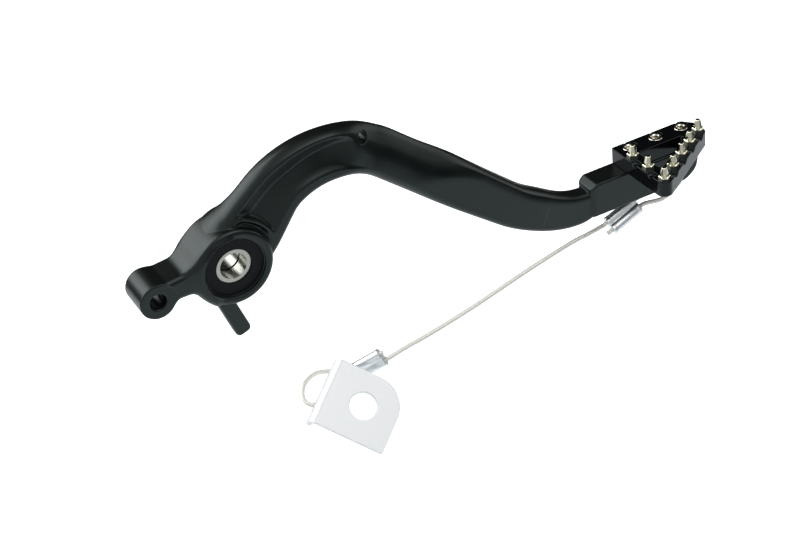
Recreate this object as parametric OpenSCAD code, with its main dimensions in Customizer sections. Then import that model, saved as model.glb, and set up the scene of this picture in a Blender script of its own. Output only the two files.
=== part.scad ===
// Rear brake pedal for an off-road motorcycle: a forged arm on two sealed
// pivot bearings, a bolted toe pad with screw-in studs, and a safety cable
// that runs back to a folded frame bracket.
// X points forward, Z up, and the side facing away from the engine is -Y.
// The origin is the middle of the pivot bore.

/* [Pivot] */
// Outside diameter of the pivot boss
hub_d = 29; // [27:0.5:34]
// Width of the pivot boss along its bore
hub_w = 17; // [16:0.5:22]
// Bore of each bearing, the diameter of the pivot bolt
bearing_bore = 10; // [9:0.5:10.5]
// Outside diameter of each bearing
bearing_od = 22; // [21.6:0.2:23.5]
// Width of each bearing
bearing_w = 6; // [5.6:0.2:6.6]
// Diameter of the bearing balls
ball_d = 4; // [3.6:0.1:4.2]
// Number of balls in each bearing
ball_count = 9; // [7:1:10]
// Shoulder left in the boss between the two bearings
shoulder_w = 1; // [0.6:0.2:1.4]
// Thickness of each rubber seal
seal_t = 0.5; // [0.4:0.1:0.6]

/* [Arm] */
// Thickness of the arm across the bike
arm_t = 10; // [8:0.5:12]
// Sideways place of the arm's middle plane
arm_y = -1.6; // [-3:0.2:1]
// Forward place of the crown, where the two straight runs would cross
crown_x = 41; // [38:1:46]
// Height of the crown, where the two straight runs would cross
crown_z = 38; // [32:0.5:42]
// Bend radius over the crown
crown_r = 34; // [30:0.5:37]
// Forward place of the lower bend
heel_x = 124; // [118:1:130]
// Height of the toe end's centre line
toe_z = -32.7; // [-38:0.1:-28]
// Bend radius of the lower bend
heel_r = 48; // [36:1:52]
// Height of the arm above its centre line where it leaves the boss
root_rise = 12.8; // [11.5:0.1:14]
// Depth of the arm below its centre line where it leaves the boss
root_fall = 12.2; // [10:0.1:12.6]
// Height of the arm above its centre line over the crown
crown_rise = 9.4; // [8:0.1:10]
// Depth of the arm below its centre line over the crown
crown_fall = 9; // [8:0.1:9.6]
// Height of the arm above its centre line at the lower bend
heel_rise = 8.6; // [7.5:0.1:9.5]
// Depth of the arm below its centre line at the lower bend
heel_fall = 7.5; // [6.8:0.1:9]
// Height of the arm above its centre line behind the toe end
neck_rise = 4; // [3:0.1:7]
// Depth of the arm below its centre line behind the toe end
neck_fall = 9.1; // [8:0.1:9.6]
// Depth of the recess in the outer side of the arm
pocket_depth = 4; // [1:0.5:6]
// Width of the lips left beside the recess
lip = 2.6; // [2:0.1:3.5]
// Diameter of the hole drilled across the crown
cross_hole_d = 4; // [3:0.2:5]

/* [Clevis lug] */
// Distance of the clevis hole behind the pivot
lug_back = 28.5; // [26:0.5:33]
// Distance of the clevis hole below the pivot
lug_drop = 2.7; // [0:0.1:5]
// Outside diameter of the clevis lug
lug_d = 13.2; // [11:0.2:14]
// Width of the clevis lug
lug_w = 15; // [11:0.5:15.5]
// Diameter of the clevis hole
lug_bore = 6; // [5:0.5:7]

/* [Stop tab] */
// Length of the stop tab
tab_len = 20; // [17:0.5:26]
// Width of the stop tab
tab_w = 6; // [5:0.5:8]
// Thickness of the stop tab
tab_t = 5; // [3:0.5:6]

/* [Toe end] */
// Distance from the pivot to the rear of the toe end block
block_start = 145; // [143:0.5:150]
// Length of the toe end block
block_len = 51.5; // [50:0.5:58]
// Height of the toe end block
block_h = 14.4; // [13:0.2:17]
// Diameter of the eye that the cable loops through
cable_eye_d = 5; // [4.6:0.2:5.6]

/* [Toe pad] */
// Length of the toe end block that the pad covers
pad_cover = 35; // [33.5:0.5:37]
// Thickness of the toe pad
pad_t = 6.5; // [5.5:0.5:9]
// Distance between neighbouring studs along the rear rim
stud_pitch = 10.1; // [9.5:0.1:11]
// Distance along the pad from the rear studs to the front stud
pad_run = 30.4; // [29:0.2:33]
// Half width of the rim that carries the studs
rim_half = 3.2; // [2.9:0.1:3.6]
// Distance between neighbouring pad screws
screw_pitch = 12; // [11.4:0.1:12.6]
// Thread diameter of the pad screws
screw_d = 3; // [2.6:0.2:3.4]
// Head diameter of the pad screws
screw_head_d = 6; // [5.4:0.2:6.2]
// Thread diameter of the studs
stud_d = 3; // [2.6:0.2:3.2]
// Height of a stud above the pad
stud_h = 4.6; // [3.6:0.2:7]
// Width of the studs' hexagon across its flats
stud_hex = 4; // [3.8:0.1:4.6]

/* [Cable] */
// Diameter of the coated steel cable
cable_d = 1.8; // [1.4:0.1:2]
// Length of each crimped sleeve
sleeve_len = 14; // [12:0.5:15]
// Distance between the two barrels of a sleeve
sleeve_pitch = 3.6; // [3.4:0.1:3.8]
// Thickness of the frame bracket's sheet
bracket_t = 2; // [1.6:0.1:2.2]
// Diameter of the frame bracket's bolt hole
bracket_hole_d = 10.5; // [8:0.5:12]
// Distance from the bolt hole to the bracket's edges
bracket_edge = 13; // [12:0.5:15]

/* [Hidden] */
$fn = 48;
slip = 0.02;
clear = 0.1;

// Bearing proportions
race_wall = (bearing_od - bearing_bore) / 8;
inner_od = bearing_bore + 2 * race_wall;
outer_id = bearing_od - 2 * race_wall;
pitch_d = (inner_od + outer_id) / 2;
bearing_y = (bearing_w + shoulder_w) / 2;
seal_inset = 0.1;
cage_half = bearing_w / 2 - seal_inset - seal_t - 0.1;

// Places on the toe end
arm_out = arm_y - arm_t / 2;
arm_in = arm_y + arm_t / 2;
block_top = toe_z + block_h / 2;
block_bottom = toe_z - block_h / 2;
block_end = block_start + block_len;
pad_x = block_end - pad_cover;
pad_top = block_top + pad_t;
stud_x = pad_x + rim_half;
screw_inset = 3.4;
screw_y = arm_in - screw_inset;
screw_x = pad_x + 6.2;
first_stud_y = arm_in - 9.7;
apex_y = first_stud_y - 2 * stud_pitch;
front_stud = [stud_x + pad_run, first_stud_y];
apex_stud = [stud_x, apex_y];
eye_x = block_end - 10.2;
eye_z = block_bottom + cable_eye_d / 2 + 3;

function unit(v) = v / norm(v);
function turn_left(v) = [-v[1], v[0]];
function mix(a, b, t) = a + (b - a) * t;
function angle_of(v) = atan2(v[1], v[0]);
function turned(a) = a > 180 ? a - 360 : a < -180 ? a + 360 : a;

// One corner of an outline, rounded to its radius with a tangent arc
function corner_arc(a, b, c, r, n) =
    let (u = unit(a - b), w = unit(c - b), half = acos(u * w) / 2,
         reach = r / tan(half), mid = b + unit(u + w) * r / sin(half),
         start = angle_of(b + u * reach - mid),
         sweep = turned(angle_of(b + w * reach - mid) - start))
    r == 0 ? [b] : [for (i = [0:n]) mid + r * [cos(start + sweep * i / n), sin(start + sweep * i / n)]];

// Closed outline from corners given as x, y and corner radius
function rounded(p, n = 6) =
    [for (i = [0:len(p) - 1])
        let (a = p[(i + len(p) - 1) % len(p)], b = p[i], c = p[(i + 1) % len(p)])
        for (q = corner_arc([a[0], a[1]], [b[0], b[1]], [c[0], c[1]], b[2], n)) q];

// Lays a drawing made in X and Z flat in the arm's plane, centred on y
module upright(y, t) {
    translate([0, y + t / 2, 0]) rotate([90, 0, 0]) linear_extrude(t) children();
}

// A cylinder along Y with small chamfers at both ends
module cross_boss(d, w, c) {
    rotate([90, 0, 0])
        rotate_extrude($fn = 96)
            polygon([[0, -w / 2], [d / 2 - c, -w / 2], [d / 2, c - w / 2],
                     [d / 2, w / 2 - c], [d / 2 - c, w / 2], [0, w / 2]]);
}

// Centre line of the arm in X and Z: boss, crown, long slope, toe end
crown = [crown_x, crown_z];
heel = [heel_x, toe_z];
first_dir = unit(crown);
second_bend = corner_arc(crown, heel, [block_start + 9, toe_z], heel_r, 9);
first_bend = corner_arc([0, 0], crown, heel, crown_r, 16);
spine = concat(
    [for (i = [0:4]) mix(first_dir * 8, first_bend[0], i / 5)],
    first_bend,
    [for (i = [1:8]) mix(first_bend[16], second_bend[0], i / 9)],
    second_bend,
    [[block_start - 0.5, toe_z], [block_start + 4, toe_z]]);
crown_index = 13;
hole_index = crown_index + 4;
last = len(spine) - 1;
function spine_dir(i) = unit(spine[min(i + 1, last)] - spine[max(i - 1, 0)]);

// The arm's edges above and below each station along the centre line
function ease(t) = (1 - cos(180 * min(1, max(0, t)))) / 2;
function rise_at(i) =
    mix(mix(mix(root_rise, crown_rise, ease((i - 1) / 16)), heel_rise, ease((i - 22) / 8)),
        neck_rise, ease((i - last + 8.5) / 7.9));
function fall_at(i) = i == last ? block_h / 2 - 0.3
    : mix(mix(mix(root_fall, crown_fall, ease(i / 7)), heel_fall, ease((i - 24) / 9)),
          neck_fall, ease((i - last + 8) / 6));

// The arm swells inboard to meet the boss and narrows behind the toe end
boss_swell = hub_w / 2 - 0.6 - arm_in;
neck_taper = 0.6;
function swell_at(i) = boss_swell * (1 - ease(i / 4));
function taper_at(i) = neck_taper * ease((i - last + 8) / 6);

// Cross section: flat flanks, a full round spine on top and a softer belly;
// p and q are its half widths outboard and inboard
function section(up, down, p, q) =
    let (rt = min(p - 0.4, 4.6), rb = min(p - 0.6, 4.2))
    concat(
        [for (a = [0:18:90]) [up - rt + rt * sin(a), q - rt + rt * cos(a)]],
        [for (a = [90:-18:0]) [up - rt + rt * sin(a), rt - p - rt * cos(a)]],
        [for (a = [0:22.5:90]) [rb - down - rb * sin(a), rb - p - rb * cos(a)]],
        [for (a = [90:-22.5:0]) [rb - down - rb * sin(a), q - rb + rb * cos(a)]]);

module arm_beam() {
    n = len(section(8, 8, arm_t / 2, arm_t / 2));
    points = [for (i = [0:last])
        let (d = spine_dir(i), up = turn_left(d), half = arm_t / 2 - taper_at(i))
        for (q = section(rise_at(i), fall_at(i), half, half + swell_at(i)))
            [spine[i][0] + up[0] * q[0], arm_y + q[1], spine[i][1] + up[1] * q[0]]];
    faces = concat(
        [[for (k = [0:n - 1]) k]],
        [for (i = [0:last - 1]) for (k = [0:n - 1])
            [i * n + k, (i + 1) * n + k, (i + 1) * n + (k + 1) % n, i * n + (k + 1) % n]],
        [[for (k = [n - 1:-1:0]) last * n + k]]);
    polyhedron(points, faces);
}

// Recess between the two lips, from the boss to just past the crown
module arm_pocket() {
    a = 3;
    b = crown_index + 5;
    upper = [for (i = [a:b]) spine[i] + turn_left(spine_dir(i)) * (rise_at(i) - lip - 2)];
    lower = [for (i = [b:-1:a]) spine[i] - turn_left(spine_dir(i)) * (fall_at(i) - lip)];
    difference() {
        upright(arm_out, 2 * pocket_depth) polygon(concat(upper, lower));
        cross_boss(hub_d + 4, 3 * hub_w, 0);
    }
}

// Cross hole through the crown, and the small hole that drops into it
// through the upper lip
module crown_holes() {
    up = turn_left(spine_dir(hole_index));
    at = spine[hole_index] + up * (rise_at(hole_index) - 4.6);
    translate([at[0], arm_y, at[1]]) cross_boss(cross_hole_d, 2 * arm_t, 0);
    translate([at[0], arm_out + 0.9, at[1]]) rotate([0, 90 - angle_of(up), 0])
        cylinder(d = cross_hole_d - 1.2, h = crown_rise);
}

module toe_block() {
    r = block_h * 0.76;
    intersection() {
        upright(arm_y, arm_t + 2)
            polygon(rounded([[block_start, block_bottom + 1.2, 0.8],
                             [block_start + 1.4, block_bottom, 0.8],
                             [block_end, block_bottom, r],
                             [block_end, block_top, 1],
                             [block_start + 3.2, block_top, 1.6],
                             [block_start, block_top - 2.2, 1.6]]));
        translate([0, 0, block_bottom - 1])
            linear_extrude(block_h + 2)
                polygon(rounded([[block_start, arm_out, 2.4], [block_end, arm_out, 3],
                                 [block_end, arm_in, 3], [block_start, arm_in, 2.4]]));
    }
}

// Waisted web from the boss back to the clevis lug
module lug_web() {
    h = hub_d / 2;
    l = lug_d / 2;
    upright(0, lug_w)
        polygon(rounded([[0, h - 3, 0], [-h * 0.82, h * 0.52, 3],
                         [-(h + lug_back - l) / 2, l - lug_drop + 0.3, 6],
                         [-lug_back, l - lug_drop, 0],
                         [-lug_back, -l - lug_drop, 0],
                         [-lug_back + l * 0.8, -lug_drop - l * 0.7, 0],
                         [-lug_back + l * 1.2, -lug_drop - 2.3, 3],
                         [-h, -lug_drop - 2.3, 3],
                         [-h * 0.6, -h * 0.85, 0]]));
}

module stop_tab() {
    translate([-hub_d * 0.19, 0, -hub_d * 0.38]) rotate([0, -18, 0])
        upright(arm_out + tab_t / 2 + 1.6, tab_t)
            polygon(rounded([[-tab_w / 2, -tab_len, 1.8], [tab_w / 2, -tab_len, 1.8],
                             [tab_w / 2, 0, 0], [-tab_w / 2, 0, 0]]));
}

module pedal_arm() {
    color("#1b1c1e")
    difference() {
        union() {
            difference() {
                arm_beam();
                arm_pocket();
                translate([0, arm_out, 0]) cross_boss(hub_d + 4.2, 5, 0);
            }
            cross_boss(hub_d, hub_w, 0.8);
            lug_web();
            translate([-lug_back, 0, -lug_drop]) cross_boss(lug_d, lug_w, 0.6);
            stop_tab();
            toe_block();
        }
        cross_boss(bearing_od - 1.6, hub_w + 2, 0);
        for (side = [-1, 1])
            translate([0, side * (bearing_y + bearing_w / 2), 0])
                cross_boss(bearing_od + 2 * slip, 2 * bearing_w, 0);
        for (side = [-1, 1])
            translate([0, side * (hub_w / 2 + 0.2), 0])
                cross_boss(bearing_od + 1.6, 2.4, 0);
        translate([-lug_back, 0, -lug_drop]) cross_boss(lug_bore, lug_w + 2, 0);
        translate([-lug_back, -lug_w / 2 - 1.9, -lug_drop]) cross_boss(lug_d + 0.6, 5, 0);
        crown_holes();
        translate([eye_x, arm_y, eye_z]) cross_boss(cable_eye_d, 2 * arm_t, 0);
        for (side = [-1, 1])
            translate([eye_x, arm_y + side * (arm_t / 2 - 0.4), eye_z]) rotate([-90 * side, 0, 0])
                cylinder(d1 = cable_eye_d - 0.4, d2 = cable_eye_d + 2.4, h = 1.4);
        for (i = [0:2])
            translate([screw_x + i * screw_pitch, screw_y, block_top - 7])
                cylinder(d = screw_d + 2 * slip, h = 10);
    }
}

// Bearing pieces, each drawn about its own middle and set into place
module in_bearing(side) {
    translate([0, side * bearing_y, 0]) rotate([90, 0, 0]) children();
}

module ball_groove() {
    translate([pitch_d / 2, 0]) circle(d = ball_d + 2 * slip);
}

module outer_race(side) {
    color("silver")
    in_bearing(side) rotate_extrude($fn = 96) difference() {
        translate([outer_id / 2, -bearing_w / 2]) square([race_wall, bearing_w]);
        ball_groove();
    }
}

module inner_race(side) {
    color("silver")
    in_bearing(side) rotate_extrude($fn = 96) difference() {
        translate([bearing_bore / 2, -bearing_w / 2]) square([race_wall, bearing_w]);
        ball_groove();
    }
}

module balls(side) {
    color("gainsboro")
    in_bearing(side)
        for (i = [0:ball_count - 1]) rotate([0, 0, i * 360 / ball_count])
            translate([pitch_d / 2, 0, 0]) sphere(d = ball_d);
}

module cage(side) {
    color("goldenrod")
    in_bearing(side) difference() {
        rotate_extrude($fn = 96)
            translate([pitch_d / 2 - 0.7, -cage_half]) square([1.4, 2 * cage_half]);
        for (i = [0:ball_count - 1]) rotate([0, 0, i * 360 / ball_count])
            translate([pitch_d / 2 - 2, 0, 0]) rotate([0, 90, 0])
                cylinder(d = ball_d + 2 * slip, h = 4);
    }
}

module back_seal(side) {
    color("#151515")
    in_bearing(side)
        translate([0, 0, side * (bearing_w / 2 - seal_inset - seal_t / 2)])
            rotate_extrude($fn = 96)
                translate([inner_od / 2 + clear, -seal_t / 2])
                    square([(outer_id - inner_od) / 2 - clear - slip, seal_t]);
}

// Seal on the open face: its foot fills the gap between the two races and
// its wide lip covers the outer race
module face_seal(side) {
    lo = bearing_w / 2 - seal_inset - seal_t;
    hi = bearing_w / 2 + slip;
    color("#151515")
    in_bearing(side) rotate([90 + 90 * side, 0, 0]) rotate_extrude($fn = 96)
        polygon([[inner_od / 2 + clear, lo], [outer_id / 2 - slip, lo],
                 [outer_id / 2 - slip, hi], [bearing_od / 2, hi],
                 [bearing_od / 2, hi + seal_t], [inner_od / 2 + clear, hi + seal_t]]);
}

// Outline of the pad: a right triangle drawn round its studs and screws
pad_dir = unit(front_stud - apex_stud);
pad_out = [pad_dir[1], -pad_dir[0]];
rim_line = apex_stud + pad_out * rim_half;
pad_front = front_stud[0] + rim_half - 0.8;
function on_rim(x) = rim_line[1] + (x - rim_line[0]) * pad_dir[1] / pad_dir[0];
bar_w = 9.2;

module pad_outline() {
    polygon(rounded([[pad_x, arm_in, 0.8],
                     [pad_x, on_rim(pad_x), 3.2],
                     [pad_front, on_rim(pad_front), 2.6],
                     [pad_front, arm_in - 4.5, 1.5],
                     [pad_front - 3.6, arm_in, 2.6]]));
}

module pad_window() {
    inner = apex_stud - pad_out * rim_half;
    function on_inner(x) = inner[1] + (x - inner[0]) * pad_dir[1] / pad_dir[0];
    rear = stud_x + rim_half - 0.4;
    top = arm_in - bar_w;
    front = inner[0] + (top - inner[1]) * pad_dir[0] / pad_dir[1];
    polygon(rounded([[rear, top, 1], [rear, on_inner(rear), 1.4], [front, top, 1]]));
}

// Gullets across the rim between neighbouring studs
module rim_gullet(p, dir) {
    translate([p[0], p[1], pad_top + 0.5]) rotate([0, 0, angle_of(dir)])
        translate([0.6, 0, 0]) rotate([0, 90, 0]) cylinder(r = 1.9, h = rim_half + 2, $fn = 32);
}

module toe_pad() {
    color("#0d0e10")
    difference() {
        translate([0, 0, block_top]) linear_extrude(pad_t) pad_outline();
        translate([0, 0, block_top - 1]) linear_extrude(pad_t + 2) pad_window();
        for (i = [0:1])
            rim_gullet([stud_x, first_stud_y - (i + 0.5) * stud_pitch], [-1, 0]);
        for (i = [0:3])
            rim_gullet(mix(apex_stud, front_stud, (i + 0.5) / 4), pad_out);
        for (i = [0:6])
            translate([stud_place(i)[0], stud_place(i)[1], block_top + 0.8])
                cylinder(d = stud_d + 2 * slip, h = pad_t + 1);
        for (i = [0:2])
            translate([screw_x + i * screw_pitch, screw_y, block_top - 1]) {
                cylinder(d = screw_d + 2 * slip, h = pad_t + 2);
                translate([0, 0, pad_t - 2]) cylinder(d = screw_head_d + 0.4, h = 4);
            }
    }
}

module pad_screw(i) {
    color("silver")
    translate([screw_x + i * screw_pitch, screw_y, 0]) difference() {
        union() {
            translate([0, 0, block_top - 6.5]) cylinder(d = screw_d, h = pad_t + 5.5);
            translate([0, 0, pad_top - 3]) cylinder(d = screw_head_d, h = 2.3);
            translate([0, 0, pad_top - 0.7])
                cylinder(d1 = screw_head_d, d2 = screw_head_d - 0.8, h = 0.4);
        }
        translate([0, 0, pad_top - 2.2]) cylinder(d = 2.5 / cos(30), h = 3, $fn = 6);
        translate([0, 0, pad_top - 0.6]) cylinder(d1 = 2.9, d2 = 4.3, h = 0.5);
    }
}

// Studs 1 to 3 run along the rear rim, 3 to 7 along the slanted rim
function stud_place(i) =
    i < 2 ? [stud_x, first_stud_y - i * stud_pitch]
    : mix(apex_stud, front_stud, (i - 2) / 4);

module stud(i) {
    p = stud_place(i);
    color("#cfc8b8")
    translate([p[0], p[1], 0]) {
        translate([0, 0, block_top + 1.2]) cylinder(d = stud_d, h = pad_t);
        translate([0, 0, pad_top])
            intersection() {
                cylinder(d = stud_hex / cos(30), h = 1.3, $fn = 6);
                cylinder(d1 = stud_hex * 1.1 + 1.2, d2 = stud_hex * 1.02, h = 1.3);
            }
        translate([0, 0, pad_top + 1.3])
            cylinder(d1 = stud_hex * 0.7, d2 = stud_hex * 0.5, h = stud_h - 1.3);
    }
}

// Sleeves: two joined barrels crimped on the cable, drawn along their own X
eye = [eye_x, arm_y, eye_z];
front_sleeve_at = eye + [-24.5, -1.4, -12.1];
front_sleeve_turn = [-50, -22, 0];
rear_sleeve_at = [49.5, 5, -73.3];
rear_sleeve_turn = [0, -31, -32];

module sleeve() {
    color("#c9ccd0")
    rotate([0, 90, 0])
        translate([0, 0, -sleeve_len / 2]) linear_extrude(sleeve_len) difference() {
            union() {
                for (s = [-1, 1]) translate([s * sleeve_pitch / 2, 0]) circle(d = cable_d + 2.4);
                square([sleeve_pitch, cable_d + 1.4], center = true);
            }
            for (s = [-1, 1]) translate([s * sleeve_pitch / 2, 0]) circle(d = cable_d + 2 * slip);
        }
}

module front_sleeve() {
    translate(front_sleeve_at) rotate(front_sleeve_turn) sleeve();
}

module rear_sleeve() {
    translate(rear_sleeve_at) rotate(rear_sleeve_turn) sleeve();
}

// Frame bracket, drawn round its bolt hole with the folded ear along -X
bracket_at = [40, -7.5, -80.3];
bracket_turn = [33, 28, -42];
bend_r = 1.5;
ear_len = 8;
ear_hole = [-5.5, -7.6];

module frame_bracket() {
    e = bracket_edge;
    color("#e8e9ea")
    translate(bracket_at) rotate(bracket_turn) {
        difference() {
            translate([0, 0, -bracket_t]) linear_extrude(bracket_t)
                polygon(rounded([[-e, -e - 0.8, 0], [e + 0.8, -e - 0.8, 1.2],
                                 [e + 0.8, e, e * 0.95], [-e, e, 0]], 12));
            translate([0, 0, -2 * bracket_t]) cylinder(d = bracket_hole_d, h = 3 * bracket_t);
        }
        translate([-e, -e - 0.8, -bracket_t - bend_r]) rotate([-90, 0, 0])
            linear_extrude(2 * e + 0.8) difference() {
                circle(r = bracket_t + bend_r);
                circle(r = bend_r);
                translate([0, -10]) square([10, 20]);
                translate([-10, 0]) square([20, 10]);
            }
        difference() {
            translate([-e - bend_r - bracket_t, -e - 0.8, -bracket_t - bend_r - ear_len])
                cube([bracket_t, 2 * e + 0.8, ear_len]);
            translate([-e - bend_r - bracket_t - 1, ear_hole[0], ear_hole[1]])
                rotate([0, 90, 0]) cylinder(d = 5, h = bracket_t + 2);
        }
    }
}

// Places a point drawn in a turned piece's own frame
function about_x(p, a) = [p[0], p[1] * cos(a) - p[2] * sin(a), p[1] * sin(a) + p[2] * cos(a)];
function about_y(p, a) = [p[0] * cos(a) + p[2] * sin(a), p[1], p[2] * cos(a) - p[0] * sin(a)];
function about_z(p, a) = [p[0] * cos(a) - p[1] * sin(a), p[0] * sin(a) + p[1] * cos(a), p[2]];
function placed(p, at, t) = at + about_z(about_y(about_x(p, t[0]), t[1]), t[2]);
function in_front(x, s) =
    placed([x, 0, -s * sleeve_pitch / 2], front_sleeve_at, front_sleeve_turn);
function in_rear(x, s) =
    placed([x, 0, -s * sleeve_pitch / 2], rear_sleeve_at, rear_sleeve_turn);
function at_ear(x, y, z) = placed([x, y, z], bracket_at, bracket_turn);

// Route of the cable: cut end, loop through the toe end's eye, long run,
// loop through the bracket's ear, second cut end
route = [
    in_front(-9.5, 1), in_front(-2, 1), in_front(5.5, 1), in_front(9, 1),
    eye + [-10.3, -7.2, -7.4], eye + [-5.8, -8.3, -4.2], eye + [-2.1, -8, -1.6],
    eye + [-1, -5.4, -0.9], eye + [-1, 0, -0.9], eye + [-1, 5.4, -0.9],
    eye + [-2.1, 8.1, -1.6], eye + [-5.8, 8.6, -4.2], eye + [-10.3, 6.2, -7.3],
    in_front(9, -1), in_front(7, -1), in_front(0, -1), in_front(-7, -1), in_front(-9, -1),
    [145.5, -2.2, -49.4], [137.5, -2, -50.5], [118, -1.5, -55.2], [94, -1, -61.8],
    [74, -0.5, -66.4], [64, 0, -68.3],
    in_rear(9, 1), in_rear(7, 1), in_rear(0, 1), in_rear(-7, 1), in_rear(-9, 1),
    at_ear(-11.6, 2, -9.2), at_ear(-13.4, -3.8, -8), at_ear(-16, -5.5, -7.6),
    at_ear(-19.2, -6.3, -7.6), at_ear(-22, -4, -8.4), at_ear(-23, 1, -10),
    at_ear(-21, 6.4, -12.2), at_ear(-17, 10, -14), at_ear(-13.2, 12.2, -13),
    in_rear(-9, -1), in_rear(-7, -1), in_rear(0, -1), in_rear(7, -1), in_rear(8.2, -1)];

// Smooth curve through the route, three steps to a stretch
function smooth(p, i, t) =
    let (a = p[max(i - 1, 0)], b = p[i], c = p[i + 1], d = p[min(i + 2, len(p) - 1)])
    b + (c - a) * t / 2 + (a * 2 - b * 5 + c * 4 - d) * t * t / 2
    + (b * 3 - a - c * 3 + d) * t * t * t / 2;
function steps(i) = norm(route[i + 1] - route[i]) < 4.2 ? 1 : norm(route[i + 1] - route[i]) < 8 ? 2 : 3;
track = concat(
    [for (i = [0:len(route) - 2]) for (k = [0:steps(i) - 1]) smooth(route, i, k / steps(i))],
    [route[len(route) - 1]]);

// A round rod swept along a list of points, its rings carried without twist
function track_dir(p, i) = unit(p[min(i + 1, len(p) - 1)] - p[max(i - 1, 0)]);
function across(n, d) = unit(n - d * (n * d));
function frames(p, i, n) =
    i == len(p) ? [] : let (m = across(n, track_dir(p, i))) concat([m], frames(p, i + 1, m));

module rod(p, r, sides) {
    n = frames(p, 0, [0.3, 1, 0.2]);
    points = [for (i = [0:len(p) - 1]) let (d = track_dir(p, i), b = cross(d, n[i]))
        for (k = [0:sides - 1]) p[i] + (n[i] * cos(360 * k / sides) + b * sin(360 * k / sides)) * r];
    polyhedron(points, concat(
        [[for (k = [0:sides - 1]) k]],
        [for (i = [0:len(p) - 2]) for (k = [0:sides - 1])
            [i * sides + k, (i + 1) * sides + k,
             (i + 1) * sides + (k + 1) % sides, i * sides + (k + 1) % sides]],
        [[for (k = [sides - 1:-1:0]) (len(p) - 1) * sides + k]]));
}

module safety_cable() {
    color("#b9bbb4") rod(track, cable_d / 2, 8);
}

pedal_arm();
outer_race(-1);  // outer_race_outboard
inner_race(-1);  // inner_race_outboard
balls(-1);  // balls_outboard
cage(-1);  // cage_outboard
face_seal(-1);  // seal_outboard_face
back_seal(-1);  // seal_outboard_back
outer_race(1);  // outer_race_inboard
inner_race(1);  // inner_race_inboard
balls(1);  // balls_inboard
cage(1);  // cage_inboard
face_seal(1);  // seal_inboard_face
back_seal(1);  // seal_inboard_back
toe_pad();
pad_screw(0);  // pad_screw_rear
pad_screw(1);  // pad_screw_middle
pad_screw(2);  // pad_screw_front
stud(0);  // stud_1
stud(1);  // stud_2
stud(2);  // stud_3
stud(3);  // stud_4
stud(4);  // stud_5
stud(5);  // stud_6
stud(6);  // stud_7
safety_cable();
front_sleeve();
rear_sleeve();
frame_bracket();
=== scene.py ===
"""Looks of a rear brake pedal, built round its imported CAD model.

The forged arm, the milled pad, the bracket and the sleeves are closed skins drawn
over a distance field: a formula says how far a point lies outside the solid, and
a skin is laid where it is zero. The cable, the studs and the boss's ring are
surfaces of two parameters.
Shapes are worked out in millimetres and put into the meshes in metres.
"""

import math

import bpy
import numpy as np
from mathutils import Matrix, Vector


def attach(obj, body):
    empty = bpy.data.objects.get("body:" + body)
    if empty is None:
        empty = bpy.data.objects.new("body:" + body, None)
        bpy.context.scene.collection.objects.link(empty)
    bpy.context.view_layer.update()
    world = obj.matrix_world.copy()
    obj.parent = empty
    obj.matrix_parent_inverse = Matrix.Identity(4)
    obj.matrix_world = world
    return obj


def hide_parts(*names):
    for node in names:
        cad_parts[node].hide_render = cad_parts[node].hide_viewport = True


bl_info = {
    "name": "Rear brake pedal looks",
    "version": (1, 0, 0),
    "blender": (4, 5, 0),
    "location": "View3D > Sidebar > Pedal",
    "description": "Builds the looks of a forged rear brake pedal round its CAD model",
    "category": "Object",
}

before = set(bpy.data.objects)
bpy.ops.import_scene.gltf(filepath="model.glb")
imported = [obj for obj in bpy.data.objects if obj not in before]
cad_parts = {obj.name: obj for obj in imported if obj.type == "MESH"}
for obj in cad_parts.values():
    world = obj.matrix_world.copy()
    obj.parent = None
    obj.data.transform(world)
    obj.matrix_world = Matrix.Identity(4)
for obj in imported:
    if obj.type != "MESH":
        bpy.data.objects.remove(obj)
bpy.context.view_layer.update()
BODY = "pedal"


# ---------------------------------------------------------------- small maths

def unit(v):
    """A vector divided by its own length."""
    v = np.asarray(v, float)
    return v / np.linalg.norm(v)


def ease(t):
    """A half cosine that rises from 0 to 1 as t goes from 0 to 1."""
    return (1 - np.cos(np.pi * np.clip(t, 0, 1))) / 2


def join(a, b, r):
    """Union of two distances with a concave fillet of radius r between them."""
    return np.maximum(r, np.minimum(a, b)) - np.hypot(np.maximum(r - a, 0), np.maximum(r - b, 0))


def meet(a, b, r):
    """Intersection of two distances whose common edge is rounded to radius r."""
    return np.minimum(-r, np.maximum(a, b)) + np.hypot(np.maximum(r + a, 0), np.maximum(r + b, 0))


def cut(a, b, r):
    """Distance a with distance b taken away, and the new edge rounded to radius r."""
    return meet(a, -b, r)


def rounded(corners, n=14):
    """Closed outline whose corners (x, y, radius) are replaced by tangent arcs of n steps."""
    p = np.array(corners, float)
    out = []
    for i in range(len(p)):
        a, b, c, r = p[i - 1, :2], p[i, :2], p[(i + 1) % len(p), :2], p[i, 2]
        if r == 0:
            out.append(b[None])
            continue
        u, w = unit(a - b), unit(c - b)
        half = math.acos(np.clip(u @ w, -1, 1)) / 2
        mid = b + unit(u + w) * r / math.sin(half)
        s, e = b + u * r / math.tan(half) - mid, b + w * r / math.tan(half) - mid
        start = math.atan2(s[1], s[0])
        sweep = (math.atan2(e[1], e[0]) - start + math.pi) % (2 * math.pi) - math.pi
        t = start + sweep * np.linspace(0, 1, n + 1)
        out.append(mid + r * np.stack([np.cos(t), np.sin(t)], 1))
    return np.concatenate(out)


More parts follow.
